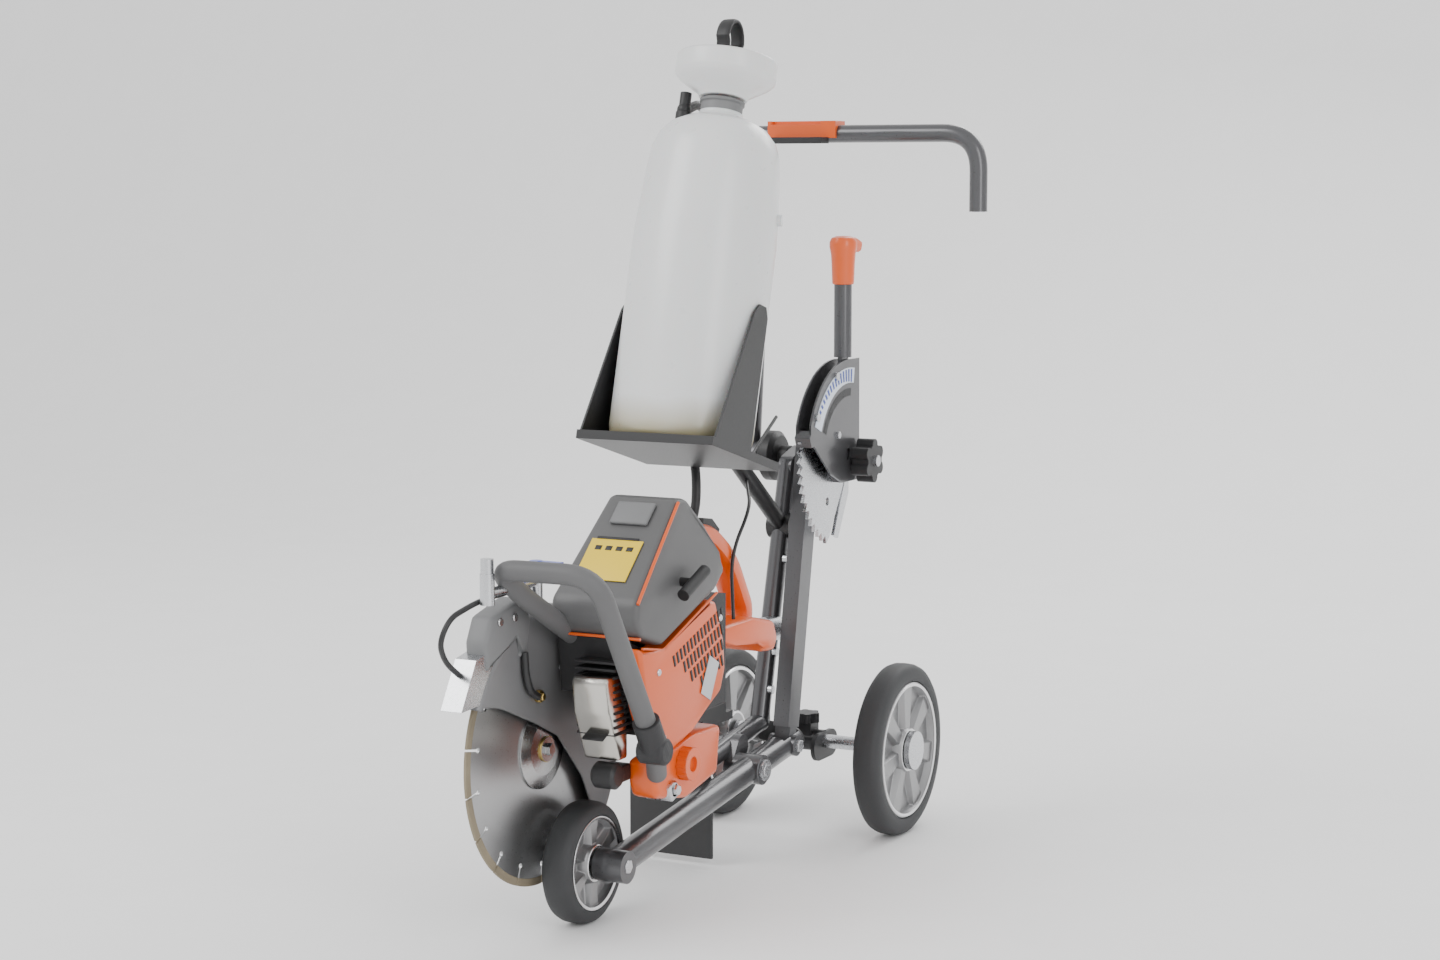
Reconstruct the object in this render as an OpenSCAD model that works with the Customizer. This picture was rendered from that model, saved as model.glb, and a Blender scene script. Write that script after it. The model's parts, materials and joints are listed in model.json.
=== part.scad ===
// Cut-off saw for concrete, clamped in a four-point steering cart with a water tank.
// X points to the starter side, -Y is the cutting direction and Z is up. Millimetres.

/* [Blade] */
// Diameter of the cutting blade
blade_d = 350; // [300:5:350]
// Height of the blade's shaft above the floor
blade_z = 231; // [225:1:260]

/* [Wheels] */
// Diameter of a rear wheel
rear_d = 250; // [240:2:254]
// Diameter of the front wheel
front_d = 158; // [150:2:160]

/* [Frame] */
// Outer diameter of the lower frame tube
tube_d = 38; // [34:1:40]
// Height of the handlebar's cross tube
bar_z = 1015; // [980:5:1060]

/* [Water tank] */
// Outer diameter of the tank
tank_d = 196; // [180:2:196]
// Height of the tank's cylindrical part
tank_h = 312; // [292:4:352]

/* [Hidden] */
$fn = 48;

// The frame's zero point is on the floor under the middle of the whole object.
floor_origin = [60, 65, 0];
gap = 0.3;

// Blade, guard and drive
blade_x = -121;
blade_y = -337;
blade_t = 3;
guard_x0 = -136;
guard_x1 = -106;
guard_r = blade_d / 2 + 10;
guard_wall = 2;
clutch = [-112, 305];
belt_x = -158;
belt_w = 12;
blade_pulley_r = 34;
clutch_pulley_r = 28;

// Cart
front_axle_y = -297;
front_x = -60;
front_w = 42;
rear_axle_y = 310;
rear_w = 41;
fit = 0.08;
pin_r = 10;
arm_pivot = [92, 126];
rod_pin = [203, 139];
right_x = 116;
left_x = -167;
axle_d = 20;
lower_x = -36;
lower_front = [-297, 80];
lower_rear = [226, 142];
upright_x = -78;
upright_d = 28;
bar_x = -36;
pivot = [315, 552];
stud = [342, 541];
stud_r = 8;
crank_pin = [282, 571];
rod_length = norm(crank_pin - rod_pin);
starter_axis = [-234, 441];
housing_x0 = -12;
housing_x1 = 12;
housing_r = 138;
tooth_count = 14;

// Handlebar
bar_y = 385;
bar_r = 13;
bar_centre = -60;
bar_right = 182;

// Water tank, on its own leaning axis
tank_foot = [-76, -45, 583];
tank_lean = 15.4;
holder_w = tank_d + 8;

// Saw body
body_x0 = -97;
starter_x0 = 3;
starter_x1 = 30;
cover_outline = [[-226, 546], [-196, 540], [-160, 507], [-126, 464], [-108, 442], [-141, 417],
                 [-288, 363], [-346, 384], [-359, 405], [-354, 430]];
starter_outline = [[-357, 375], [-344, 319], [-306, 238], [-273, 223], [-212, 244], [-128, 280],
                   [-114, 310], [-118, 350], [-143, 412], [-160, 407], [-289, 359]];
block_outline = [[-330, 380], [-322, 300], [-300, 252], [-60, 252], [-60, 400], [-141, 414], [-289, 359]];

function lean(p) = [p[0], p[1] * cos(tank_lean) + p[2] * sin(tank_lean), p[2] * cos(tank_lean) - p[1] * sin(tank_lean)];
function unit(v) = v / norm(v);
function inset(points, centre, k) = [for (p = points) centre + (p - centre) * k];
function sum(v, i = 0) = i >= len(v) ? [0, 0] : v[i] + sum(v, i + 1);
function middle(points) = sum(points) / len(points);

// Extrudes a Y-Z outline along X.
module yz(x0, x1) {
  translate([x0, 0, 0]) rotate([90, 0, 90]) linear_extrude(x1 - x0) children();
}

// Turns a (radius, X) outline about an X axis through y, z.
module turned(x, y, z) {
  translate([x, y, z]) rotate([0, 90, 0]) rotate_extrude() children();
}

// A cylinder between two points.
module rod(a, b, r) {
  d = b - a;
  length = norm(d);
  translate(a) rotate([0, acos(d[2] / length), atan2(d[1], d[0])]) cylinder(r = r, h = length);
}

// A chain of cylinders with slightly larger balls at its corners.
module pipe(points, r) {
  for (i = [0 : len(points) - 2]) rod(points[i], points[i + 1], r);
  for (i = [1 : 1 : len(points) - 2]) translate(points[i]) sphere(r = r * 1.06);
}

// A disc along X.
module disc_x(x0, x1, y, z, r) {
  translate([x0, y, z]) rotate([0, 90, 0]) cylinder(r = r, h = x1 - x0);
}

// A smooth hose through its points: one polyhedron with rings of corners.
function bezier(a, b, c, t) = a * (1 - t) * (1 - t) + b * 2 * t * (1 - t) + c * t * t;
function smooth(p, steps) = [
  p[0],
  for (i = [1 : len(p) - 2]) for (s = [0 : steps]) bezier((p[i - 1] + p[i]) / 2, p[i], (p[i] + p[i + 1]) / 2, s / steps),
  p[len(p) - 1]];
function tangent(p, i) = unit(p[min(i + 1, len(p) - 1)] - p[max(i - 1, 0)]);
function next_side(side, t) = unit(side - t * (side * t));
function sides(p, side, i = 0) = i >= len(p) ? [] :
  let (s = next_side(side, tangent(p, i))) concat([s], sides(p, s, i + 1));
module hose(route, r, steps = 2, hose_sides = 8, start = [1, 0.2, 0.1]) {
  p = smooth(route, steps);
  s = sides(p, start);
  points = [for (i = [0 : len(p) - 1]) for (k = [0 : hose_sides - 1])
    p[i] + r * (s[i] * cos(360 * k / hose_sides) + cross(tangent(p, i), s[i]) * sin(360 * k / hose_sides))];
  rings = len(p);
  polyhedron(points, concat(
    [[for (k = [hose_sides - 1 : -1 : 0]) k]],
    [for (i = [0 : rings - 2]) for (k = [0 : hose_sides - 1])
      [i * hose_sides + k, i * hose_sides + (k + 1) % hose_sides,
       (i + 1) * hose_sides + (k + 1) % hose_sides, (i + 1) * hose_sides + k]],
    [[for (k = [0 : hose_sides - 1]) (rings - 1) * hose_sides + k]]));
}

// ---- Front arm with the front wheel ----
module lower_tube() color([0.2, 0.2, 0.21]) difference() {
  union() {
    rod([lower_x, lower_front[0], lower_front[1]], [lower_x, lower_rear[0], lower_rear[1]], tube_d / 2);
    disc_x(lower_x - tube_d / 2 - 2, lower_x + tube_d / 2 + 2, front_axle_y, front_d / 2, 21);
    disc_x(lower_x - tube_d / 2 - 1, lower_x + tube_d / 2 + 2, arm_pivot[0], arm_pivot[1], 21);
    disc_x(lower_x - 21, lower_x + 21, rod_pin[0], rod_pin[1], 15);
  }
  disc_x(lower_x - 40, lower_x + 40, arm_pivot[0], arm_pivot[1], pin_r + fit);
  translate([lower_x - 12.6, rod_pin[0] - 28, rod_pin[1] - 13]) cube([25.2, 56, 60]);
}

module front_axle() color([0.75, 0.75, 0.77]) {
  disc_x(lower_x - 23, lower_x + 23, rod_pin[0], rod_pin[1], 6);
  disc_x(front_x - front_w - 6, lower_x - 10, front_axle_y, front_d / 2, axle_d / 2);
  disc_x(front_x - front_w - 9, front_x - front_w - 4, front_axle_y, front_d / 2, 16);
}

module wheel_tyre(x1, w, y, r) color([0.16, 0.16, 0.17]) turned(x1 - w, y, r) polygon([
  [r * 0.79 + 0.3, 3], [r - 14, 0], [r - 5, 3], [r, 9], [r, w - 9], [r - 5, w - 3], [r - 14, w], [r * 0.79 + 0.3, w - 3]]);

// Rim: hub, web with tapered pockets and outer ring.
module wheel_rim(x1, w, y, r, spokes) color([0.62, 0.62, 0.63]) difference() {
  turned(x1 - w, y, r) polygon([
    [axle_d / 2 + fit, 1], [26, 1], [30, w / 2 - 5], [r * 0.66, w / 2 - 5], [r * 0.7, 2], [r * 0.79, 2],
    [r * 0.79, w - 2], [r * 0.7, w - 2], [r * 0.66, w / 2 + 5], [30, w / 2 + 5], [26, w - 1], [axle_d / 2 + fit, w - 1]]);
  for (k = [0 : spokes - 1]) translate([x1 - w - 1, y, r]) rotate([360 / spokes * (k + 0.5), 0, 0])
    rotate([90, 0, 90]) linear_extrude(w + 2)
      polygon([[-r * 0.09, r * 0.36], [r * 0.09, r * 0.36], [r * 0.2, r * 0.63], [-r * 0.2, r * 0.63]]);
}
module front_tyre() wheel_tyre(front_x, front_w, front_axle_y, front_d / 2);
module front_rim() wheel_rim(front_x, front_w, front_axle_y, front_d / 2, 6);
module left_tyre() wheel_tyre(left_x, rear_w, rear_axle_y, rear_d / 2);
module left_rim() wheel_rim(left_x, rear_w, rear_axle_y, rear_d / 2, 7);
module right_tyre() wheel_tyre(right_x, rear_w, rear_axle_y, rear_d / 2);
module right_rim() wheel_rim(right_x, rear_w, rear_axle_y, rear_d / 2, 7);

// ---- Cart frame ----
module upright_tube() color([0.2, 0.2, 0.21]) difference() {
  union() {
    pipe([[upright_x, -10, 134], [upright_x, 206, 168], [upright_x, 302, 540]], upright_d / 2);
    yz(upright_x + 8, lower_x - tube_d / 2 - 1.5) hull_bar([arm_pivot, [110, 152]], 17);
    yz(upright_x - 10, upright_x + 10) hull_bar([[304, 530], stud], 17);
  }
  disc_x(upright_x - 20, upright_x + 20, stud[0], stud[1], stud_r);
}
// Two discs and a bar between them, as an outline.
module hull_bar(ends, r) {
  d = ends[1] - ends[0];
  for (e = ends) translate(e) circle(r = r);
  translate(ends[0]) rotate(atan2(d[1], d[0])) translate([0, -r]) square([norm(d), 2 * r]);
}
module upright_bar() color([0.22, 0.22, 0.23]) difference() {
  translate([bar_x, rod_pin[0], rod_pin[1]])
    rotate([-atan2(crank_pin[0] - rod_pin[0], crank_pin[1] - rod_pin[1]), 0, 0]) difference() {
      union() {
        disc_x(-12, 12, 0, 0, 11);
        translate([-12, -11, 0]) cube([24, 22, 30]);
        translate([-12, -18, 26]) cube([24, 36, rod_length]);
      }
      translate([-9, -15, 44]) cube([18, 30, rod_length - 74]);
    }
  disc_x(bar_x - 20, bar_x + 20, crank_pin[0], crank_pin[1], 12.5);
  disc_x(bar_x - 20, bar_x + 20, rod_pin[0], rod_pin[1], 6 + fit);
}
module pivot_shaft() color([0.75, 0.75, 0.77]) {
  disc_x(upright_x + 10, lower_x + tube_d / 2 + 5, arm_pivot[0], arm_pivot[1], pin_r);
  disc_x(lower_x + tube_d / 2 + 2.4, lower_x + tube_d / 2 + 7, arm_pivot[0], arm_pivot[1], 15);
  disc_x(-176, 48, stud[0], stud[1], stud_r);
  disc_x(-178, -171, stud[0], stud[1], 13);
}
module axle_carrier() color([0.15, 0.15, 0.16]) difference() {
  union() {
    disc_x(-104, -22, rear_axle_y, rear_d / 2, 16);
    yz(upright_x - 9, upright_x + 9) hull_bar([[196, 160], [rear_axle_y, rear_d / 2]], 15);
    translate([-66, rear_axle_y - 14, rear_d / 2 + 8]) cube([28, 28, 18]);
    yz(-26, -20) hull_bar([[rear_axle_y - 20, rear_d / 2 - 6], [rear_axle_y + 22, rear_d / 2 - 6]], 20);
  }
  disc_x(-98, 10, rear_axle_y, rear_d / 2, axle_d / 2 + fit);
  translate([-52, rear_axle_y, rear_d / 2]) cylinder(r = 4 + fit, h = 60);
}
module left_axle() color([0.75, 0.75, 0.77]) {
  disc_x(left_x - rear_w - 6, -100, rear_axle_y, rear_d / 2, axle_d / 2);
  disc_x(left_x - rear_w - 10, left_x - rear_w - 2, rear_axle_y, rear_d / 2, 22);
  disc_x(left_x + 2, left_x + 8, rear_axle_y, rear_d / 2, 17);
}
module right_axle() color([0.75, 0.75, 0.77]) {
  disc_x(-42, right_x + 4, rear_axle_y, rear_d / 2, axle_d / 2);
  disc_x(right_x - rear_w - 9, right_x - rear_w - 2, rear_axle_y, rear_d / 2, 18);
  disc_x(right_x + 1, right_x + 9, rear_axle_y, rear_d / 2, 28);
}
module axle_knob() color([0.1, 0.1, 0.1]) translate([-52, rear_axle_y, rear_d / 2]) {
  translate([0, 0, 10.4]) cylinder(r = 4, h = 26);
  translate([0, 0, 26.4]) lobed(22, 5, 14, 6);
}
// A knob outline with rounded lobes.
module lobed(r, lobe_r, h, count) {
  cylinder(r = r - lobe_r, h = h);
  for (k = [0 : count - 1]) rotate(360 / count * k) translate([r - lobe_r - 1, 0, 0]) cylinder(r = lobe_r, h = h);
}
module left_knob() color([0.1, 0.1, 0.1]) turned(-136, stud[0], stud[1]) polygon([
  [stud_r + fit, 0], [30, 0], [37, 6], [37, 20], [30, 26], [16, 27], [16, 42], [stud_r + fit, 42]]);
module right_knob() color([0.1, 0.1, 0.1]) translate([16.5, stud[0], stud[1]]) rotate([0, 90, 0]) difference() {
  lobed(33, 9, 26, 6);
  translate([0, 0, -1]) cylinder(r = stud_r + fit, h = 60);
}
module splash_flap() color([0.13, 0.13, 0.13]) {
  translate([-188, 18, 10]) cube([129, 5, 106]);
  translate([-96, 12, 106]) cube([36, 6, 24]);
}
module frame_bolts() color([0.7, 0.7, 0.72]) {
  for (p = [[214, 215], [228, 268], [262, 400]]) disc_x(upright_x + 12, upright_x + 18, p[0], p[1], 6.5);
  disc_x(12, 16, 205, 614, 6);
  disc_x(12, 16, 270, 668, 6);
  disc_x(12, 16, 276, 583, 5);
}
module saw_cradle() color([0.14, 0.14, 0.15]) {
  rod([-64, -4, 136], [-64, 20, 220], 9);
  translate([-92, -60, 210]) cube([60, 90, 12]);
  translate([-92, -110, 222]) cube([60, 120, 14]);
}
module rear_mount() color([0.6, 0.6, 0.62]) {
  rod([-50, 96, 313], [-70, 243, 300], 8);
  disc_x(-64, -36, 92, 313, 16);
  rod([-70, 200, 304], [-70, 246, 300], 18);
}

// ---- Depth lever ----
module fan(r) polygon(concat([[38, -40], [38, 30], [37, r]], [for (a = [92 : 6 : 158]) r * [cos(a), sin(a)]],
  [[-r * 0.93, r * 0.22], [-60, -24], [-20, -40]]));
module lever_housing() color([0.2, 0.2, 0.21]) translate([0, pivot[0], pivot[1]]) difference() {
  union() {
    for (x = [housing_x0, housing_x1 - 3]) yz(x, x + 3) fan(housing_r);
    yz(housing_x0, housing_x1) polygon([[-20, -40], [38, -40], [38, 14], [30, 14], [20, -26], [-24, -26]]);
    yz(housing_x0, housing_x1) polygon([[-126, 20], [-132, 34], [-124, 44], [-114, 40], [-112, 22]]);
    yz(housing_x0 - 46, housing_x0 + 2) translate([45, -11]) circle(r = 16);
  }
  disc_x(-90, 40, 0, 0, 9 + fit);
  disc_x(-90, 40, stud[0] - pivot[0], stud[1] - pivot[1], stud_r);
}
module toothed_sector() color([0.72, 0.72, 0.74]) translate([-8, pivot[0], pivot[1]]) rotate([90, 0, 90])
  linear_extrude(5) difference() {
    polygon(concat([[26, -30], [-16, -118], [-2, -124], [34, -60]], [[34, -30]],
      [for (k = [0 : 2 * tooth_count - 1]) let (a = 168 + 3.2 * k) (k % 2 == 0 ? 134 : 124) * [cos(a), sin(a)]]));
    circle(r = 14);
    translate([-40, -66]) circle(r = 6);
  }
module lever_tube() color([0.2, 0.2, 0.21]) translate([0, pivot[0], pivot[1]]) {
  disc_x(-19, 8, 0, 0, 9);
  yz(-1, 6) difference() {
    union() {
      circle(r = 20);
      translate([-11, 0]) square([22, 150]);
    }
    translate([0, 100]) circle(r = 5);
  }
  translate([2, 0, 141]) cylinder(r = 13, h = 130);
  yz(-22, -14) rotate(atan2(crank_pin[1] - pivot[1], crank_pin[0] - pivot[0])) translate([-14, -11]) square([64, 22]);
  disc_x(bar_x - 8, -16, crank_pin[0] - pivot[0], crank_pin[1] - pivot[1], 6);
}
module lever_grip() color([0.88, 0.32, 0.12]) translate([2, pivot[0], pivot[1] + 246]) {
  rotate_extrude() polygon([[0, 25.5], [13.4, 25.5], [13.4, 0], [16, 0], [17.5, 40], [20, 60], [16, 68], [0, 69]]);
  translate([0, 0, 55]) rotate([-90, 0, 0]) translate([0, 0, -10]) cylinder(r = 13, h = 44);
}
module depth_scale() color([0.9, 0.92, 0.95]) translate([housing_x1, pivot[0], pivot[1]]) rotate([90, 0, 90])
  linear_extrude(1.2) polygon(concat([for (a = [82 : 5 : 157]) 126 * [cos(a), sin(a)]],
    [for (a = [157 : -5 : 82]) 104 * [cos(a), sin(a)]]));

// ---- Handlebar ----
bar_route = [[bar_centre, bar_y, bar_z], [bar_right - 56, bar_y, bar_z], [bar_right - 17, bar_y, bar_z - 17],
             [bar_right, bar_y, bar_z - 56], [bar_right, bar_y, bar_z - 112]];
module mirror_tip() translate([2 * bar_centre, 0, 0]) mirror([1, 0, 0]) children();
module handlebar_tube() color([0.35, 0.35, 0.36]) {
  difference() {
    union() {
      pipe(bar_route, bar_r);
      mirror_tip() pipe(bar_route, bar_r);
    }
    translate([bar_right, bar_y, bar_z - 120]) cylinder(r = 10.5, h = 60);
    mirror_tip() translate([bar_right, bar_y, bar_z - 120]) cylinder(r = 10.5, h = 60);
  }
}
module handlebar_column() color([0.2, 0.2, 0.21]) difference() {
  union() {
    rod([-158, stud[0], stud[1] + 8], [-158, bar_y, bar_z], 13);
    disc_x(-168, -142, stud[0], stud[1], 21);
  }
  disc_x(-190, -120, stud[0], stud[1], stud_r + fit);
}
module handlebar_sleeve() color([0.88, 0.32, 0.12]) difference() {
  translate([-146, bar_y - 17, bar_z - 6]) cube([110, 34, 25]);
  translate([-160, bar_y, bar_z]) rotate([0, 90, 0]) cylinder(r = bar_r, h = 140);
  translate([-140, bar_y - 30, bar_z + 14]) cube([80, 22, 12]);
}
module throttle_lever() color([0.12, 0.12, 0.12]) difference() {
  translate([-136, bar_y - 45, bar_z - 14]) cube([90, 27, 9]);
  translate([-150, bar_y, bar_z]) rotate([0, 90, 0]) cylinder(r = bar_r + 1, h = 120);
}

// ---- Water tank ----
module on_tank() translate(tank_foot) rotate([-tank_lean, 0, 0]) children();
module tank_bottle() color([0.93, 0.94, 0.93]) on_tank() rotate_extrude() polygon([
  [0, 4], [tank_d / 2 - 22, 4], [tank_d / 2 - 6, 10], [tank_d / 2, 26], [tank_d / 2, tank_h],
  [tank_d / 2 - 6, tank_h + 60], [tank_d / 2 - 14, tank_h + 110], [tank_d / 2 - 34, tank_h + 138],
  [40, tank_h + 152], [29, tank_h + 158], [29, tank_h + 180], [24, tank_h + 180], [24, tank_h + 152],
  [tank_d / 2 - 36, tank_h + 134], [tank_d / 2 - 19, tank_h + 106], [tank_d / 2 - 5, tank_h], [tank_d / 2 - 5, 26],
  [tank_d / 2 - 10, 14], [tank_d / 2 - 24, 9], [0, 9]]);
module pump_funnel() color([0.93, 0.94, 0.93]) on_tank() translate([0, 0, tank_h + 180]) rotate_extrude() polygon([
  [7.08, 0], [34, 0], [62, 22], [70, 30], [70, 56], [66, 56], [64, 34], [50, 22], [32, 14], [7.08, 14]]);
module pump_handle() color([0.1, 0.1, 0.1]) on_tank() translate([0, 0, tank_h + 182]) {
  cylinder(r = 7, h = 50);
  translate([-10, 0, 44]) rotate([90, 0, 90]) linear_extrude(20) difference() {
    hull_bar([[0, 28], [0, 42]], 26);
    hull_bar([[0, 28], [0, 42]], 20);
  }
}
module tank_fitting() color([0.13, 0.13, 0.13]) on_tank() {
  translate([-58, 0, tank_h + 138]) cylinder(r = 11, h = 24);
  translate([-58, 0, tank_h + 166]) sphere(r = 10);
  translate([-58, 0, tank_h + 160]) cylinder(r = 8, h = 30);
}
module tank_holder() color([0.15, 0.15, 0.16]) {
  on_tank() {
    difference() {
      translate([-holder_w / 2, -holder_w / 2, -3]) cube([holder_w, holder_w, 12]);
      translate([-holder_w / 2 + 3, -holder_w / 2 + 3, 0]) cube([holder_w - 6, holder_w - 6, 60]);
    }
    for (x = [-holder_w / 2, holder_w / 2 - 3]) translate([x, 0, 0]) rotate([90, 0, 90])
      linear_extrude(3) polygon([[-98, 0], [12, 0], [14, 190], [6, 204], [-14, 204], [-26, 190]]);
    translate([-24, holder_w / 2 - 4, 0]) cube([48, 14, 120]);
  }
  rod([upright_x, 70, 600], [upright_x, 270, 452], 12);
  disc_x(upright_x - 18, upright_x + 18, 281, 446, 19);
}
module tank_hose() color([0.1, 0.1, 0.1]) {
  hose([lean2([-58, 8, tank_h + 168]), lean2([-58, 44, tank_h + 190]), lean2([-58, 122, tank_h + 150]),
        lean2([-58, 124, 60]), [-104, 62, 540], [-104, 56, 480], [-104, -20, 436], [-88, -110, 385]], 6.5);
  hose([[-112, 330, 600], [-100, 200, 540], [-20, 60, 500], [-30, 20, 440], [-20, 10, 330]], 2.5);
}
function lean2(p) = tank_foot + lean(p);

// ---- Saw body ----
module engine_block() color([0.18, 0.18, 0.19]) difference() {
  union() {
    yz(body_x0, starter_x0) polygon(block_outline);
    disc_x(-140, body_x0 + 2, clutch[0], clutch[1], 38);
    for (z = [260 : 9 : 350]) translate([-60, -352, z]) cube([58, 70, 3]);
  }
  translate([-120, -420, 200]) cube([63, 245, 106]);
  disc_x(-150, -50, clutch[0], clutch[1], 12 + fit);
}
module muffler() color([0.7, 0.7, 0.7]) difference() {
  translate([-54, -372, 226]) cube([50, 58, 110]);
  translate([-60, -380, 226]) rotate([20, 0, 0]) cube([60, 30, 70]);
  translate([-30, -380, 300]) rotate([-90, 0, 0]) cylinder(r = 9, h = 16);
}
module top_cover() color([0.33, 0.33, 0.34]) difference() {
  intersection() {
    yz(-95, 32) polygon(cover_outline);
    rotate([90, 0, 0]) translate([0, 0, 0]) linear_extrude(400)
      polygon([[-95, 300], [-95, 440], [-84, 536], [-72, 560], [12, 560], [24, 536], [32, 440], [32, 300]]);
  }
  disc_x(12, 60, starter_axis[0], starter_axis[1], 6 + fit);
}
module starter_cover() color([0.88, 0.32, 0.12]) difference() {
  union() {
    yz(starter_x0 + gap, starter_x1) polygon(starter_outline);
    yz(starter_x1 - 1, starter_x1 + 8) polygon(inset(starter_outline, middle(starter_outline), 0.86));
  }
  for (i = [0 : 8]) translate([starter_x1 - 8, -206 + 9 * i, 296 + 3 * i]) rotate([22, 0, 0])
    cube([20, 4.5, 84 - 4 * abs(i - 4)]);
}
module starter_handle() color([0.14, 0.14, 0.15]) {
  disc_x(14, 44, starter_axis[0], starter_axis[1], 6);
  rod([47, starter_axis[0] - 30, starter_axis[1] - 12], [47, starter_axis[0] + 30, starter_axis[1] + 12], 8);
}
module fuel_tank() color([0.88, 0.32, 0.12]) {
  yz(-12, 28) polygon([[-304, 190], [-306, 222], [-196, 236], [-120, 236], [-130, 172], [-215, 156], [-296, 172]]);
  yz(-88, -2) polygon([[-66, 330], [-20, 322], [50, 320], [60, 300], [100, 296], [112, 312], [100, 338], [40, 352], [-60, 352]]);
  difference() {
    yz(-72, -30) difference() {
      polygon([[-100, 430], [-96, 474], [-60, 490], [-10, 478], [40, 440], [84, 372], [96, 330], [60, 322],
        [-60, 330], [-70, 400]]);
      polygon([[-60, 420], [-56, 450], [-20, 448], [14, 420], [48, 362], [44, 346], [-50, 350]]);
    }
    yz(-61, -41) {
      polygon([[-34, 438], [-34, 457], [-16, 455], [4, 437], [16, 417]]);
      polygon([[-44, 500], [-44, 481.5], [-10, 476.8], [6, 465.3], [14, 462], [14, 500]]);
    }
  }
}
module fuel_cap() color([0.88, 0.32, 0.12]) translate([28.4, -228, 205]) rotate([0, 90, 0]) difference() {
  union() {
    cylinder(r = 21, h = 14);
    for (k = [0 : 11]) rotate(30 * k) translate([20, 0, 0]) cylinder(r = 2.4, h = 13, $fn = 16);
  }
  translate([0, 0, 9]) cylinder(r = 10, h = 10);
}
module throttle_trigger() color([0.1, 0.1, 0.1]) yz(-60, -42) polygon([
  [-26, 446.6], [-2, 433], [6, 426], [-8, 404], [-16, 402], [-14, 420], [-30, 436]]);
module trigger_lock() color([0.1, 0.1, 0.1]) yz(-60, -42) polygon([
  [-40, 486.5], [-10, 479.6], [6, 467.6], [10, 475], [-12, 492], [-38, 496]]);
module front_handle() color([0.42, 0.42, 0.43]) {
  pipe([[26, -300, 210], [50, -344, 248], [50, -468, 446], [44, -484, 473], [26, -489, 484], [-62, -489, 483],
        [-80, -484, 475], [-86, -464, 458], [-80, -310, 372]], 13);
}

// ---- Drive, blade and guard ----
module belt_guard() color([0.2, 0.2, 0.21]) difference() {
  yz(-178, -140) hull_bar([clutch, [blade_y, blade_z]], 44);
  yz(-174, -144) hull_bar([clutch, [blade_y, blade_z]], 40);
  disc_x(-150, -130, clutch[0], clutch[1], 12 + fit);
  disc_x(-150, -130, blade_y, blade_z, 12 + fit);
}
module drive_belt() color([0.08, 0.08, 0.08]) yz(belt_x - belt_w / 2, belt_x + belt_w / 2) difference() {
  hull_bar([clutch, [blade_y, blade_z]], blade_pulley_r + 4);
  hull_bar([clutch, [blade_y, blade_z]], blade_pulley_r + 0.4);
}
module clutch_pulley() color([0.6, 0.6, 0.62]) {
  disc_x(-166, -150, clutch[0], clutch[1], clutch_pulley_r);
  disc_x(-150, -60, clutch[0], clutch[1], 12);
}
module blade_shaft() color([0.6, 0.6, 0.62]) {
  disc_x(-166, -150, blade_y, blade_z, blade_pulley_r);
  disc_x(-150, blade_x + 12, blade_y, blade_z, 12);
  disc_x(blade_x + 10, blade_x + 13, blade_y, blade_z, 16);
  translate([blade_x + 12, blade_y, blade_z]) rotate([0, 90, 0]) cylinder(r = 8, h = 7, $fn = 6);
}
module blade_disc() color([0.5, 0.5, 0.52]) difference() {
  disc_x(blade_x - blade_t / 2, blade_x + blade_t / 2, blade_y, blade_z, blade_d / 2 - 10);
  disc_x(blade_x - 5, blade_x + 5, blade_y, blade_z, 12);
  for (k = [0 : 17]) translate([blade_x - 5, blade_y, blade_z]) rotate([20 * k, 0, 0]) {
    translate([0, -1.5, blade_d / 2 - 24]) cube([10, 3, 30]);
    translate([0, 0, blade_d / 2 - 25]) rotate([0, 90, 0]) cylinder(r = 3.5, h = 10);
  }
}
module blade_segments() color([0.6, 0.55, 0.45]) difference() {
  turned(blade_x, blade_y, blade_z) polygon([
    [blade_d / 2 - 10, -1.8], [blade_d / 2, -1.8], [blade_d / 2, 1.8], [blade_d / 2 - 10, 1.8]]);
  for (k = [0 : 17]) translate([blade_x - 5, blade_y, blade_z]) rotate([20 * k, 0, 0])
    translate([0, -1.5, blade_d / 2 - 24]) cube([10, 3, 40]);
}
module blade_flange() color([0.65, 0.65, 0.67]) difference() {
  union() {
    turned(blade_x, blade_y, blade_z) polygon([[0, 1.5], [52, 1.5], [52, 4], [34, 8], [14, 10], [0, 10]]);
    turned(blade_x, blade_y, blade_z) polygon([[0, -1.5], [52, -1.5], [52, -4], [30, -8], [0, -8]]);
  }
  disc_x(blade_x - 20, blade_x + 20, blade_y, blade_z, 12);
}
module guard_zone(r) intersection() {
  circle(r = r);
  polygon([[-260, 112], [-174, 84], [-117, 74], [-30, 38], [20, 14], [80, -50], [130, -140], [320, -140],
    [320, 320], [-260, 320]]);
}
module guard_shell() color([0.45, 0.45, 0.46]) translate([0, blade_y, blade_z]) difference() {
  yz(guard_x0, guard_x1) {
    guard_zone(guard_r);
    circle(r = 34);
  }
  yz(guard_x0 + guard_wall, guard_x1 - guard_wall) circle(r = guard_r - guard_wall);
  yz(guard_x0 + guard_wall, guard_x1 + 5) difference() {
    circle(r = 120);
    guard_zone(130);
  }
  disc_x(guard_x0 - 5, guard_x0 + 5, 0, 0, 16);
}
module guard_lip() color([0.72, 0.72, 0.74]) translate([0, blade_y, blade_z]) difference() {
  yz(guard_x0, guard_x1) polygon([[-160, 86], [-204, 84], [-170, 142], [-128, 150], [-136, 118]]);
  yz(guard_x0 + 2, guard_x1 - 2) polygon([[-150, 60], [-206, 74], [-167, 138], [-110, 134]]);
  yz(guard_x0 - 5, guard_x1 + 5) circle(r = guard_r + 0.02);
}
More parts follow.
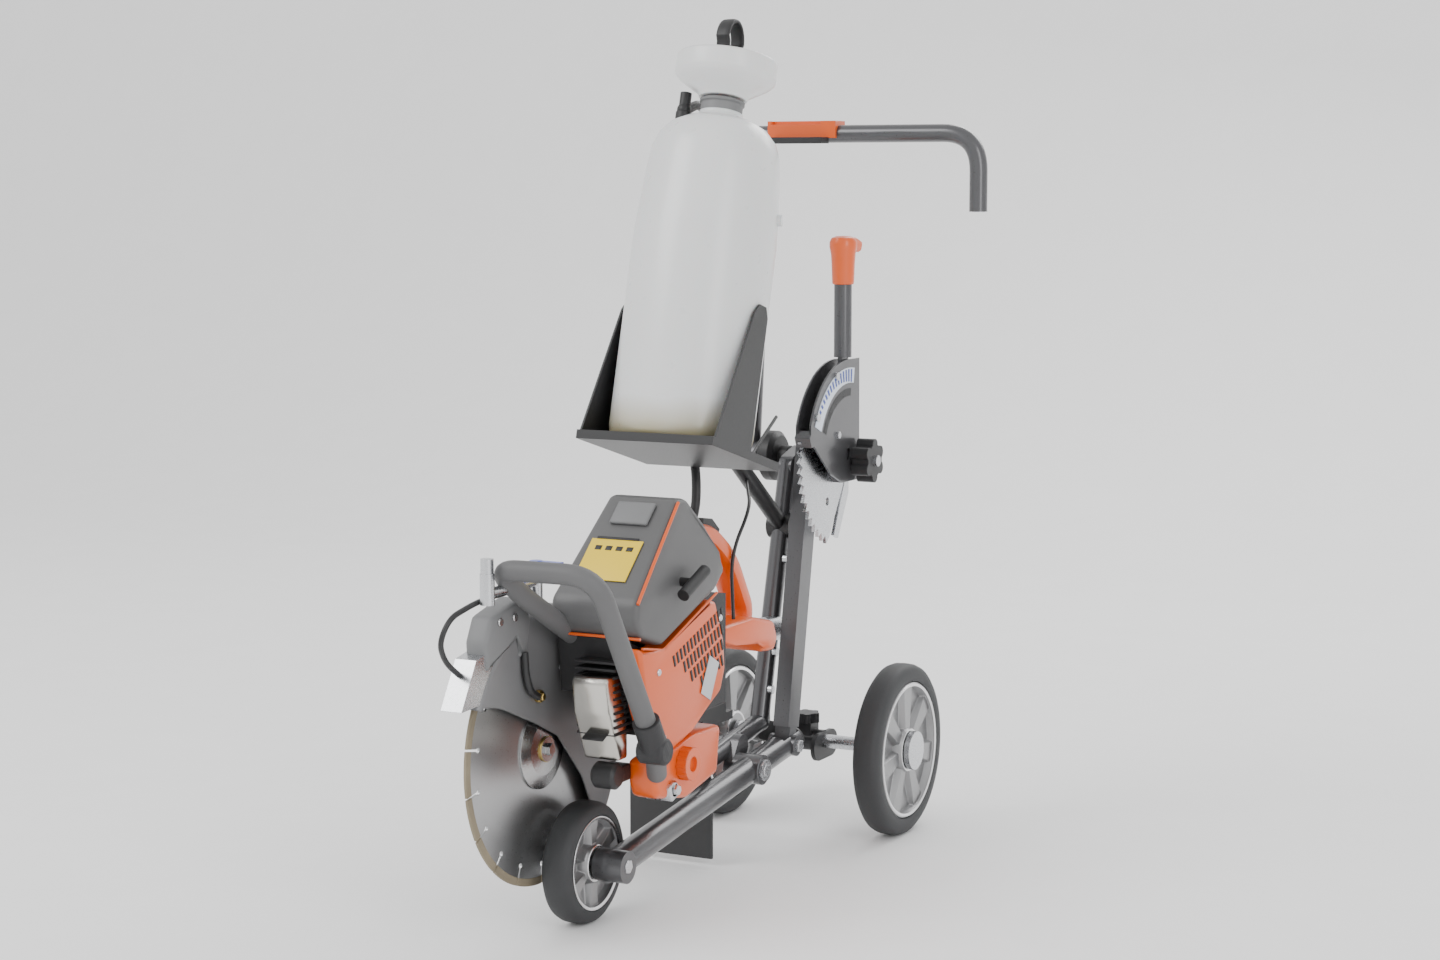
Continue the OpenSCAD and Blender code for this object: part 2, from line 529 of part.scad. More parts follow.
module guard_handle() color([0.5, 0.5, 0.51]) translate([0, blade_y, blade_z]) difference() {
  yz(guard_x0 + 4, guard_x1 + 4) polygon([[-150, 100], [-154, 166], [-134, 194], [-74, 208], [-52, 196], [-46, 170]]);
  yz(guard_x0 - 5, guard_x1 + 5) circle(r = guard_r + 0.02);
}
module water_tap() color([0.75, 0.76, 0.78]) {
  rod([-90, -506, 442], [-90, -506, 480], 9);
  rod([-90, -506, 480], [-90, -506, 498], 8);
  rod([-90, -506, 456], [-86, -400, 456], 6);
  rod([-86, -400, 426], [-86, -400, 472], 8);
}
module tap_lever() color([0.1, 0.3, 0.75]) {
  translate([-86, -400, 472.4]) cylinder(r = 8, h = 10);
  translate([-86, -406, 475]) cube([36, 12, 7]);
}
module water_hoses() color([0.12, 0.12, 0.12])
  hose([[-88, -420, 452], [-104, -500, 446], [-110, -552, 432], [-116, -566, 404], [-124, -548, 376],
        [-124, -519.5, 356]], 3.5);

translate(floor_origin) {
  lower_tube();
  front_axle();
  upright_bar();
  upright_tube();
  pivot_shaft();
  axle_carrier();
  left_axle();
  right_axle();
  axle_knob();
  splash_flap();
  frame_bolts();
  saw_cradle();
  rear_mount();
  front_tyre();
  front_rim();
  left_tyre();
  left_rim();
  right_tyre();
  right_rim();
  lever_housing();
  toothed_sector();
  depth_scale();
  lever_tube();
  lever_grip();
  left_knob();
  right_knob();
  handlebar_tube();
  handlebar_column();
  handlebar_sleeve();
  throttle_lever();
  tank_holder();
  tank_bottle();
  pump_funnel();
  pump_handle();
  tank_fitting();
  tank_hose();
  engine_block();
  muffler();
  top_cover();
  starter_cover();
  starter_handle();
  fuel_tank();
  fuel_cap();
  throttle_trigger();
  trigger_lock();
  front_handle();
  belt_guard();
  drive_belt();
  clutch_pulley();
  blade_shaft();
  blade_disc();
  blade_segments();
  blade_flange();
  guard_shell();
  guard_lip();
  guard_handle();
  water_tap();
  tap_lever();
  water_hoses();
}
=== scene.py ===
"""Looks of the cut-off saw on its cutting cart. Lengths in the build tables are millimetres."""
import json
import math

import bmesh
import bpy
from mathutils import Matrix, Vector


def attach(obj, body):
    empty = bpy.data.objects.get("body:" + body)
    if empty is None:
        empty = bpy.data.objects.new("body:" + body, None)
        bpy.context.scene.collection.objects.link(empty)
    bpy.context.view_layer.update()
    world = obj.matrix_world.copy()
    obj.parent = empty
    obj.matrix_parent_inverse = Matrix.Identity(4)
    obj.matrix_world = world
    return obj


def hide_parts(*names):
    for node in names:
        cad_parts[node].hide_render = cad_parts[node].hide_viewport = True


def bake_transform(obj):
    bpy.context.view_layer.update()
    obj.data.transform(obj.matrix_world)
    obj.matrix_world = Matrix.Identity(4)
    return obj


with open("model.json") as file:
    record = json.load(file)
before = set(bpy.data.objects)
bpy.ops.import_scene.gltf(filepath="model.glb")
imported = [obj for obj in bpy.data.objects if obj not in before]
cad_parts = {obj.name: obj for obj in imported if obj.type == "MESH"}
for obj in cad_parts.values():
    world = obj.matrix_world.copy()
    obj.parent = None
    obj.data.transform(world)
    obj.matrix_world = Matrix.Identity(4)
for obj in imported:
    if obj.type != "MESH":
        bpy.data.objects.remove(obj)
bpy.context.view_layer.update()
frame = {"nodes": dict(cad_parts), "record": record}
NODES = frame["nodes"]
SHIFT = Vector((60, 65, 0))
BLADE = (-121, -337, 231)
BAR_MIDDLE, BAR_REACH, BAR_Y, BAR_Z, BAR_END_Z = -60, 242, 385, 1015, 903
LEVER_PIVOT = (315, 552)
TANK_FOOT = (-76, -45, 583)
TANK_LEAN = math.radians(15.4)
TANK_R, TANK_H = 98, 312
GUARD_R, BLADE_GUARD_ANGLES = 185, (154.2, -46.9)


def V(p):
    """A point of the build tables in the row frame, in metres."""
    return (Vector(p) + SHIFT) / 1000


# ---- materials ----
def material(name, color, rough=0.5, metal=0.0, bump=0.0, scale=200.0, spot=0.06, coat=0.0, edge=0.0008,
             subsurface=0.0):
    """A surface whose colour, roughness and height vary a little with a 3-D noise."""
    m = bpy.data.materials.new(name)
    m.use_nodes = True
    t = m.node_tree
    b = t.nodes["Principled BSDF"]
    b.inputs["Metallic"].default_value = metal
    b.inputs["Coat Weight"].default_value = coat
    b.inputs["Coat Roughness"].default_value = 0.15
    b.inputs["Subsurface Weight"].default_value = subsurface
    b.inputs["Subsurface Scale"].default_value = 0.02
    place = t.nodes.new("ShaderNodeTexCoord")
    noise = t.nodes.new("ShaderNodeTexNoise")
    noise.inputs["Scale"].default_value = 9.0
    noise.inputs["Detail"].default_value = 5.0
    t.links.new(place.outputs["Object"], noise.inputs["Vector"])
    ramp = t.nodes.new("ShaderNodeValToRGB")
    ramp.color_ramp.elements[0].position = 0.3
    ramp.color_ramp.elements[1].position = 0.7
    ramp.color_ramp.elements[0].color = [c * (1 - spot) for c in color] + [1]
    ramp.color_ramp.elements[1].color = [min(1, c * (1 + spot)) for c in color] + [1]
    t.links.new(noise.outputs["Fac"], ramp.inputs["Fac"])
    t.links.new(ramp.outputs["Color"], b.inputs["Base Color"])
    fine = t.nodes.new("ShaderNodeTexNoise")
    fine.inputs["Scale"].default_value = scale
    fine.inputs["Detail"].default_value = 3.0
    t.links.new(place.outputs["Object"], fine.inputs["Vector"])
    span = t.nodes.new("ShaderNodeMapRange")
    span.inputs["To Min"].default_value = max(0.03, rough - 0.07)
    span.inputs["To Max"].default_value = min(1, rough + 0.07)
    t.links.new(fine.outputs["Fac"], span.inputs["Value"])
    t.links.new(span.outputs["Result"], b.inputs["Roughness"])
    round_edge = t.nodes.new("ShaderNodeBevel")
    round_edge.samples = 3
    round_edge.inputs["Radius"].default_value = edge
    bump_node = t.nodes.new("ShaderNodeBump")
    bump_node.inputs["Strength"].default_value = bump
    bump_node.inputs["Distance"].default_value = 0.0005
    t.links.new(fine.outputs["Fac"], bump_node.inputs["Height"])
    t.links.new(round_edge.outputs["Normal"], bump_node.inputs["Normal"])
    t.links.new(bump_node.outputs["Normal"], b.inputs["Normal"])
    return m


def tank_plastic():
    """Milky plastic, with a tinted band low down where the water stands."""
    m = material("tank_plastic", (0.72, 0.73, 0.73),
                 0.3, coat=0.2, spot=0.015, scale=60, edge=0.003, subsurface=0.1)
    t = m.node_tree
    b = t.nodes["Principled BSDF"]
    base = b.inputs["Base Color"].links[0].from_socket
    place = t.nodes.new("ShaderNodeTexCoord")
    split = t.nodes.new("ShaderNodeVectorMath")
    split.operation = "DOT_PRODUCT"
    split.inputs[1].default_value = (0, 0.2656, 0.9641)
    t.links.new(place.outputs["Object"], split.inputs[0])
    wave = t.nodes.new("ShaderNodeTexNoise")
    wave.inputs["Scale"].default_value = 8.0
    t.links.new(place.outputs["Object"], wave.inputs["Vector"])
    add = t.nodes.new("ShaderNodeMath")
    add.operation = "MULTIPLY_ADD"
    add.inputs[1].default_value = 0.04
    t.links.new(wave.outputs["Fac"], add.inputs[0])
    t.links.new(split.outputs["Value"], add.inputs[2])
    band = t.nodes.new("ShaderNodeMapRange")
    band.inputs["From Min"].default_value = 0.598
    band.inputs["From Max"].default_value = 0.652
    band.inputs["To Min"].default_value = 1.0
    band.inputs["To Max"].default_value = 0.0
    t.links.new(add.outputs["Value"], band.inputs["Value"])
    mix = t.nodes.new("ShaderNodeMix")
    mix.data_type = "RGBA"
    mix.inputs["B"].default_value = (0.36, 0.31, 0.16, 1)
    t.links.new(band.outputs["Result"], mix.inputs["Factor"])
    t.links.new(base, mix.inputs["A"])
    t.links.new(mix.outputs["Result"], b.inputs["Base Color"])
    return m


M = {
    "frame_paint": material("frame_paint", (0.085, 0.085, 0.09), 0.3, 0.6, 0.05, 500, coat=0.5),
    "black_paint": material("black_paint", (0.014, 0.014, 0.015), 0.4, 0.0, 0.1, 600),
    "zinc": material("zinc", (0.62, 0.63, 0.65), 0.27, 1.0, 0.05, 350),
    "tyre": material("tyre", (0.032, 0.033, 0.035), 0.62, 0.0, 0.35, 420, spot=0.12, edge=0.002),
    "rim": material("rim", (0.33, 0.33, 0.335), 0.34, 0.9, 0.25, 260, edge=0.002),
    "rim_bright": material("rim_bright", (0.8, 0.8, 0.81), 0.22, 1.0, 0.05, 300),
    "orange": material("orange", (0.74, 0.098, 0.002),
                       0.34, 0.0, 0.12, 500, spot=0.03, coat=0.35, edge=0.0016),
    "grey_cover": material("grey_cover", (0.095, 0.095, 0.096), 0.42, 0.0, 0.25, 900, spot=0.04, edge=0.003),
    "black_plastic": material("black_plastic", (0.016, 0.016, 0.017), 0.45, 0.0, 0.25, 700, edge=0.002),
    "rubber": material("rubber", (0.11, 0.11, 0.112), 0.55, 0.0, 0.25, 700, edge=0.002),
    "flap": material("flap", (0.03, 0.03, 0.031), 0.6, 0.0, 0.25, 500),
    "hose": material("hose", (0.018, 0.018, 0.019), 0.4, 0.0, 0.1, 500),
    "steel": material("steel", (0.5, 0.5, 0.5), 0.25, 1.0, 0.15, 300),
    "blade": material("blade", (0.45, 0.455, 0.46), 0.3, 0.95, 0.04, 700, spot=0.04),
    "shield": material("shield", (0.58, 0.56, 0.52), 0.2, 1.0, 0.6, 25, edge=0.004),
    "segment": material("segment", (0.3, 0.255, 0.18), 0.7, 0.5, 0.9, 900, spot=0.25),
    "guard": material("guard", (0.2, 0.2, 0.205), 0.38, 0.25, 0.1, 700, edge=0.004),
    "grip": material("grip", (0.17, 0.172, 0.175), 0.5, 0.0, 0.25, 800, edge=0.004),
    "blue": material("blue", (0.01, 0.055, 0.5), 0.3, 0.0, 0.05, 300, coat=0.3),
    "cast_black": material("cast_black", (0.04, 0.04, 0.042), 0.5, 0.5, 0.6, 350, edge=0.003),
    "scale": material("scale", (0.72, 0.78, 0.88), 0.35, 0.0, 0.03, 300),
    "scale_blue": material("scale_blue", (0.03, 0.06, 0.33), 0.35, 0.0, 0.03, 300),
    "yellow": material("yellow", (0.85, 0.6, 0.02), 0.4, 0.0, 0.05, 300, spot=0.02),
    "plate": material("plate", (0.55, 0.56, 0.58), 0.35, 0.7, 0.1, 200),
    "brass": material("brass", (0.6, 0.42, 0.14), 0.3, 1.0, 0.1, 300),
    "white": material("white", (0.72, 0.73, 0.73),
                      0.33, 0.0, 0.05, 60, spot=0.015, coat=0.15, edge=0.003, subsurface=0.08),
    "tank": tank_plastic(),
}
LOOK = {"splash_flap": "flap", "tank_bottle": "tank", "pump_funnel": "white", "blade_disc": "blade",
        "muffler": "shield"}
slots = {s["node"]: s["material_slot"] for s in frame["record"]["subparts"]}
for node_name, node_object in NODES.items():
    key = LOOK.get(node_name) or slots[node_name]
    if key == "white_plastic":
        key = "white"
    node_object.data.materials.clear()
    node_object.data.materials.append(M[key])


# ---- mesh builders ----
def piece(name, bm, mat, body, smooth=True, replaces=None):
    """Turns a bmesh in build-table millimetres into a piece riding on a body."""
    bmesh.ops.recalc_face_normals(bm, faces=bm.faces)
    me = bpy.data.meshes.new(name)
    for v in bm.verts:
        v.co = V(v.co)
    bm.to_mesh(me)
    bm.free()
    if smooth:
        me.shade_smooth()
        me.set_sharp_from_angle(angle=math.radians(35))
    ob = bpy.data.objects.new(name, me)
    bpy.context.scene.collection.objects.link(ob)
    me.materials.append(M[mat])
    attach(ob, body)
    if replaces:
        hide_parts(replaces)
    return ob


def rounded(points, radius, steps=6):
    """The route with each corner turned into an arc-like curve."""
    pts = [Vector(p) for p in points]
    out = [pts[0]]
    for a, b, c in zip(pts, pts[1:], pts[2:]):
        la, lc = (a - b).length, (c - b).length
        cut = min(radius, la * 0.49, lc * 0.49)
        p, q = b + (a - b).normalized() * cut, b + (c - b).normalized() * cut
        for i in range(steps + 1):
            t = i / steps
            out.append(p * (1 - t) ** 2 + b * 2 * t * (1 - t) + q * t * t)
    out.append(pts[-1])
    return out


def sweep(bm, route, r, sides=24, inner=None, flat=None):
    """A tube along a route; inner is not used; flat = (width, height) gives a flat band."""
    rings = []
    side = None
    for i, p in enumerate(route):
        t = (route[min(i + 1, len(route) - 1)] - route[max(i - 1, 0)]).normalized()
        if side is None:
            side = t.orthogonal().normalized() if abs(t.x) > 0.9 or flat is None else Vector((1, 0, 0))
        side = (side - t * side.dot(t)).normalized()
        up = t.cross(side)
        ring = []
        for k in range(sides):
            a = 2 * math.pi * k / sides
            if flat:
                c, s = math.cos(a), math.sin(a)
                n = (abs(c) ** 4 + abs(s) ** 4) ** 0.25
                d = side * (flat[0] * c / n) + up * (flat[1] * s / n)
            else:
                d = (side * math.cos(a) + up * math.sin(a)) * r
            ring.append(bm.verts.new(p + d))
        rings.append(ring)
    for a, b in zip(rings, rings[1:]):
        for k in range(sides):
            bm.faces.new((a[k], a[(k + 1) % sides], b[(k + 1) % sides], b[k]))
    bm.faces.new(rings[0][::-1])
    bm.faces.new(rings[-1])


def revolve(bm, profile, origin, axis=(1, 0, 0), sides=64):
    """Turns (radius, height) points about an axis through origin."""
    z = Vector(axis).normalized()
    x = z.orthogonal().normalized()
    y = z.cross(x)
    o = Vector(origin)
    rings = []
    for r, h in profile:
        if r < 1e-6:
            rings.append([bm.verts.new(o + z * h)])
        else:
            rings.append([bm.verts.new(o + z * h + (x * math.cos(2 * math.pi * k / sides)
                                                    + y * math.sin(2 * math.pi * k / sides)) * r)
                          for k in range(sides)])
    for a, b in zip(rings, rings[1:]):
        for k in range(sides):
            j = (k + 1) % sides
            if len(a) == 1 and len(b) == 1:
                continue
            if len(a) == 1:
                bm.faces.new((a[0], b[j], b[k]))
            elif len(b) == 1:
                bm.faces.new((a[k], a[j], b[0]))
            else:
                bm.faces.new((a[k], a[j], b[j], b[k]))


def prism(bm, outline, x0, x1, bevel=0.0, taper=None, segments=3):
    """A Y-Z outline carried from x0 to x1, with all edges rounded."""
    n = len(outline)
    cy = sum(p[0] for p in outline) / n
    cz = sum(p[1] for p in outline) / n
    k = taper or 1.0
    a = [bm.verts.new((x0, y, z)) for y, z in outline]
    b = [bm.verts.new((x1, cy + (y - cy) * k, cz + (z - cz) * k)) for y, z in outline]
    faces = [bm.faces.new(a[::-1]), bm.faces.new(b)]
    for i in range(n):
        j = (i + 1) % n
        faces.append(bm.faces.new((a[i], a[j], b[j], b[i])))
    if bevel:
        edges = {e for f in faces for e in f.edges}
        bmesh.ops.bevel(bm, geom=list(edges),
                        offset=bevel, segments=segments, profile=0.5, affect="EDGES", clamp_overlap=True)


def block(bm, centre, size, rot=None, bevel=0.0):
    """A box with rounded edges."""
    made = bmesh.ops.create_cube(bm, size=1.0)["verts"]
    for v in made:
        v.co = Vector((v.co.x * size[0], v.co.y * size[1], v.co.z * size[2]))
    if bevel:
        edges = {e for v in made for e in v.link_edges}
        made = list({v for f in bmesh.ops.bevel(bm, geom=list(edges), offset=bevel, segments=3, profile=0.5,
                                                affect="EDGES")["faces"]
                     for v in f.verts} | {v for v in made if v.is_valid})
    turn = (rot or Matrix.Identity(3)).to_4x4()
    for v in made:
        v.co = turn @ v.co + Vector(centre)


def turn_x(degrees):
    """A turn about the machine's sideways axis."""
    return Matrix.Rotation(math.radians(degrees), 3, "X")


def disc(bm, x0, x1, y, z, r, sides=40, bevel=0.0):
    """A round plate lying across the machine from x0 to x1."""
    c = min(bevel, (x1 - x0) / 2)
    revolve(bm, [(0, 0), (r - c, 0), (r, c), (r, x1 - x0 - c), (r - c, x1 - x0), (0, x1 - x0)], (x0, y, z),
            sides=sides)


# ---- tubes ----
bm = bmesh.new()
sweep(bm, rounded([(26, -296, 205), (50, -344, 248), (50, -489, 484), (-86, -489, 483), (-86, -440, 447),
                   (-80, -310, 372)], 42, 8), 13)
piece("front_handle_grip", bm, "rubber", "cart", replaces="front_handle")
bm = bmesh.new()
sweep(bm, [Vector((50, -340, 242)), Vector((50, -368, 288))], 17.5)
disc(bm, 30, 68, -344, 246, 17, bevel=3)
piece("front_handle_socket", bm, "cast_black", "cart")
bm = bmesh.new()
for side in (1, -1):
    end_x = BAR_MIDDLE + side * BAR_REACH
    route = rounded([(BAR_MIDDLE, BAR_Y, BAR_Z), (end_x, BAR_Y, BAR_Z), (end_x, BAR_Y, BAR_END_Z)], 62, 12)
    sweep(bm, route, 13, 28)
piece("handlebar_bar", bm, "frame_paint", "handlebar", replaces="handlebar_tube")
bm = bmesh.new()
for side in (1, -1):
    revolve(bm, [(10.5, 0), (13.2, 0), (13.2, -0.4), (10.3, -0.4)],
            (BAR_MIDDLE + side * BAR_REACH, BAR_Y, BAR_END_Z), (0, 0, 1), 32)
piece("handlebar_end_rings", bm, "zinc", "handlebar")
# Black discs in the open tube ends: painted shade for the dark inside of the tubes.
bm = bmesh.new()
for side in (1, -1):
    disc_centre = (BAR_MIDDLE + side * BAR_REACH, BAR_Y, BAR_END_Z - 0.6)
    revolve(bm, [(0, 0), (10.2, 0)], disc_centre, (0, 0, 1), 32)
piece("handlebar_end_hole_shade", bm, "black_paint", "handlebar")


# ---- hoses ----
def tank(x, y, z):
    """A point of the leaning bottle's own axes in the build tables."""
    c, s = math.cos(TANK_LEAN), math.sin(TANK_LEAN)
    return Vector((TANK_FOOT[0] + x, TANK_FOOT[1] + y * c + z * s, TANK_FOOT[2] + z * c - y * s))


LEAN = tank(0, 0, 1) - tank(0, 0, 0)
bm = bmesh.new()
sweep(bm, rounded([tank(-58, 8, 480), tank(-58, 44, 502), tank(-58, 122, 462), tank(-58, 124, 60),
                   (-104, 62, 540),
                   (-104, 56, 480), (-104, -20, 436), (-88, -110, 385)], 50, 8), 6.5, 16)
sweep(bm, rounded([(-112, 330, 600), (-100, 200, 540), (-20, 60, 500), (-30, 20, 440), (-20, 10, 330)],
                  70, 8), 2.5, 12)
piece("tank_and_cable_runs", bm, "hose", "cart", replaces="tank_hose")
bm = bmesh.new()
sweep(bm, rounded([(-88, -420, 452), (-104, -500, 446), (-110, -558, 432), (-116, -572, 404),
                   (-124, -548, 376),
                   (-124, -512, 352)], 60, 8), 3.5, 14)
me = bpy.data.meshes.new("inlet_hose")
for v in bm.verts:
    v.co = V(v.co)
bm.to_mesh(me)
bm.free()
me.shade_smooth()
inlet = bpy.data.objects.new("inlet_hose", me)
bpy.context.scene.collection.objects.link(inlet)
me.materials.append(M["hose"])
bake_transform(inlet)
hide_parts("water_hoses")


# ---- wheels ----
def wheel(tag, body, x1, w, y, r, spokes, hub):
    """A tyre, its cast rim with spokes on both faces, and the rim's turned edges."""
    x0 = x1 - w
    bm = bmesh.new()
    revolve(bm, [(r * 0.795, 4), (r * 0.8, 1.5), (r - 18, 0.2), (r - 8, 1.4), (r - 3, 5), (r - 0.6, 11),
                 (r, w / 2), (r - 0.6, w - 11),
                 (r - 3, w - 5), (r - 8, w - 1.4), (r - 18, w - 0.2), (r * 0.8, w - 1.5), (r * 0.795, w - 4),
                 (r * 0.795, 4)],
            (x0, y, r), sides=96)
    piece(tag + "_tyre_round", bm, "tyre", body, replaces=tag + "_tyre")
    bm = bmesh.new()
    R = r * 0.79
    revolve(bm, [(R, 2), (R, w - 2), (R - 2, w - 1), (R - 5, w - 2), (R - 9, w - 12), (hub + 3, w - 15),
                 (hub + 3, w - 15),
                 (hub, w - 4), (hub - 2, w - 1), (10.1, w - 1), (10.1, 1), (hub - 2, 1), (hub, 4),
                 (hub + 3, 15),
                 (R - 9, 12), (R - 5, 2), (R, 2)], (x0, y, r), sides=96)
    for k in range(spokes):
        a = 2 * math.pi * k / spokes
        turn = Matrix.Rotation(a, 3, "X")
        for xs, xe in ((w - 16, w - 5), (5, 16)):
            ring = []
            for d, half in ((hub - 2, 4.2 * r / 80 + 3), (R - 6, 8.0 * r / 80 + 4)):
                deep, face = (xs, xe) if xe > w / 2 else (xe, xs)
                for x, h in ((deep, half + 3), (face, half - 2)):
                    ring.append([bm.verts.new(Vector((x0 + x, y, r)) + turn @ Vector((0, s * h, d)))
                                 for s in (-1, 1)])
            q = [v for pair in ring for v in pair]
            for f in ((0, 1, 3, 2), (4, 6, 7, 5), (0, 4, 5, 1), (2, 3, 7, 6), (0, 2, 6, 4), (1, 5, 7, 3)):
                bm.faces.new([q[i] for i in f])
    piece(tag + "_rim_cast", bm, "rim", body, replaces=tag + "_rim")
    bm = bmesh.new()
    for x, s in ((x1 - 1.2, 1), (x0 + 1.2, -1)):
        revolve(bm, [(R - 6, 0), (R - 4.6, s * 0.9), (R - 2.2, s * 1.1), (R - 1, 0)], (x, y, r), sides=96)
        revolve(bm, [(hub - 5, 0), (hub - 4, s * 0.8), (hub - 2, s * 0.8), (hub - 1, 0)], (x, y, r), sides=64)
    piece(tag + "_rim_turned_edge", bm, "rim_bright", body)


wheel("front", "front_wheel", -60, 42, -297, 79, 6, 25)
wheel("left", "left_wheel", -167, 41, 310, 125, 7, 32)
wheel("right", "right_wheel", 116, 41, 310, 125, 7, 32)

# ---- saw body ----
bm = bmesh.new()
cover = [(-226, 546), (-198, 543), (-160, 507), (-130, 466), (-112, 440), (-141, 417), (-288, 366),
         (-344, 385), (-357, 405), (-353, 430)]
prism(bm, cover, -94, 31, 9, segments=4)
for v in bm.verts:
    up = max(0.0, min(1.0, (v.co.z - 420) / 120))
    v.co.x = -30 + (v.co.x + 30) * (1 - 0.2 * up * up)
piece("top_cover_moulded", bm, "grey_cover", "cart", replaces="top_cover")
bm = bmesh.new()
slope = math.degrees(math.atan2(546 - 430, -216 + 343))
block(bm, (-32, -251, 527), (54, 36, 5), turn_x(slope), 2)
piece("top_cover_pad", bm, "grip", "cart")
bm = bmesh.new()
block(bm, (-36, -307, 474.3), (74, 66, 1.4), turn_x(slope), 0.5)
piece("blank_label", bm, "yellow", "cart")
bm = bmesh.new()
for i in range(4):
    block(bm, (-58 + 15 * i, -294, 487.2), (9, 7, 0.8), turn_x(slope), 0.2)
block(bm, (-36, -282, 498.2), (60, 4, 0.8), turn_x(slope), 0.2)
piece("blank_label_marks", bm, "black_plastic", "cart")
bm = bmesh.new()
sweep(bm, rounded([(20, -226, 541), (26, -290, 486), (30.6, -352, 429)], 60), 2.2, 10)
sweep(bm, rounded([(31.0, -342, 372), (31.0, -288, 362), (31, -141, 414)], 5), 1.8, 10)
sweep(bm, rounded([(30, -345, 384), (-90, -345, 384)], 5), 2.0, 10)
piece("cover_seams", bm, "orange", "cart")

bm = bmesh.new()
starter = [(-357, 375), (-344, 319), (-306, 238), (-273, 223), (-212, 244), (-128, 280), (-114, 310),
           (-118, 350), (-143, 408), (-160, 404), (-289, 357)]
prism(bm, starter, 3.3, 33, 7, 0.97, segments=4)
piece("starter_cover_moulded", bm, "orange", "cart", replaces="starter_cover")
bm = bmesh.new()
for i in range(15):
    for j in range(4):
        y = -262 + 9.4 * i
        z = 352 + 3.0 * i - j * 21
        if 268 <= z <= 405 and y + 262 >= j * 22:
            block(bm, (33.2, y, z - 8), (1.6, 4.6, 15), turn_x(20), 0.3)
piece("starter_grille", bm, "black_plastic", "cart")
bm = bmesh.new()
block(bm, (34.2, -166, 306), (1.2, 30, 52), turn_x(-28), 0.5)
piece("blank_plate", bm, "plate", "cart")
bm = bmesh.new()
for y, z in ((-303, 336), (-290, 250), (-135, 380)):
    disc(bm, 31, 35, y, z, 4.5, 20, 1)
piece("starter_screws", bm, "zinc", "cart")

bm = bmesh.new()
prism(bm, [(-304, 190), (-306, 222), (-196, 236), (-120, 236), (-130, 172), (-215, 156), (-296, 172)],
      -12, 28, 8)
piece("fuel_tank_moulded", bm, "orange", "cart")
bm = bmesh.new()
prism(bm, [(-66, 330), (-20, 322), (50, 320), (60, 300), (100, 296), (112, 312), (100, 338), (40, 352),
           (-60, 352)], -88, -2, 6)
piece("rear_unit_moulded", bm, "orange", "cart")
bm = bmesh.new()
sweep(bm, rounded([(-51, -98, 432), (-51, -84, 478), (-51, -30, 476), (-51, 34, 434), (-51, 84, 356),
                   (-51, 78, 332),
                   (-51, -50, 340)], 34, 8), 16, 20, flat=(20, 13))
piece("rear_handle_loop", bm, "orange", "cart")
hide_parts("fuel_tank")

# ---- small parts of the saw and cart ----
bm = bmesh.new()
for y, z, k in ((-84, 452, 24), (-92, 420, 22), (-86, 392, 20)):
    block(bm, (-38, y, z), (34, k, 26), turn_x(-20), 5)
block(bm, (-34, -66, 352), (44, 26, 30), None, 6)
block(bm, (-20, -102, 428), (26, 30, 40), turn_x(-25), 6)
piece("rubber_mounts", bm, "black_plastic", "cart")
bm = bmesh.new()
disc(bm, -40, -6, -336, 206, 17, 32, 4)
block(bm, (-22, -318, 206), (30, 34, 22), None, 4)
piece("front_rubber_mount", bm, "black_plastic", "cart")
bm = bmesh.new()
block(bm, (14, -262, 176), (40, 20, 22), turn_x(18), 3)
disc(bm, 28, 40, -262, 178, 7, 6, 1)
disc(bm, 28, 34, -262, 178, 10, 24, 1)
piece("tank_clamp", bm, "zinc", "cart")
bm = bmesh.new()
revolve(bm, [(0, 0), (17.6, 0), (18.6, 1), (18.6, 5), (17, 7), (0, 7.5)], (-36, 226, 142), (0, 523, 62), 40)
piece("tube_end_cap", bm, "black_plastic", "front_arm")
bm = bmesh.new()
for y, z in ((92, 126), (203, 139)):
    disc(bm, -16, -9, y, z, 9.5, 6, 1)
disc(bm, -19, -13.2, -297, 80, 9.5, 6, 1)
piece("arm_bolts", bm, "zinc", "front_arm")

# ---- exhaust ----
bm = bmesh.new()
prism(bm, [(-372, 330), (-366, 336), (-316, 336), (-316, 226), (-340, 226), (-352, 262), (-366, 290)],
      -54, -4, 9, segments=4)
piece("muffler_shield", bm, "shield", "cart", replaces="muffler")
bm = bmesh.new()
disc(bm, -40, -18, -356, 322, 8, 24, 2)
for z in (262, 300):
    block(bm, (-29, -349, z), (30, 30, 3), turn_x(25), 1)
piece("muffler_outlet", bm, "cast_black", "cart")

# ---- blade guard ----
BY, BZ = BLADE[1:]
CUT = [(-174, 84), (-117, 74), (-30, 38), (20, 14), (80, -50), (130, -140)]


def cut_radius(angle):
    """How far from the blade's shaft the guard's lower edge is, in that direction."""
    dy, dz = math.cos(angle), math.sin(angle)
    for (y0, z0), (y1, z1) in zip(CUT, CUT[1:]):
        den = dy * (z1 - z0) - dz * (y1 - y0)
        if abs(den) < 1e-9:
            continue
        t = (y0 * (z1 - z0) - z0 * (y1 - y0)) / den
        u = (y0 * dz - z0 * dy) / den
        if t > 0 and -0.001 <= u <= 1.001:
            return min(t, 176)
    return 176


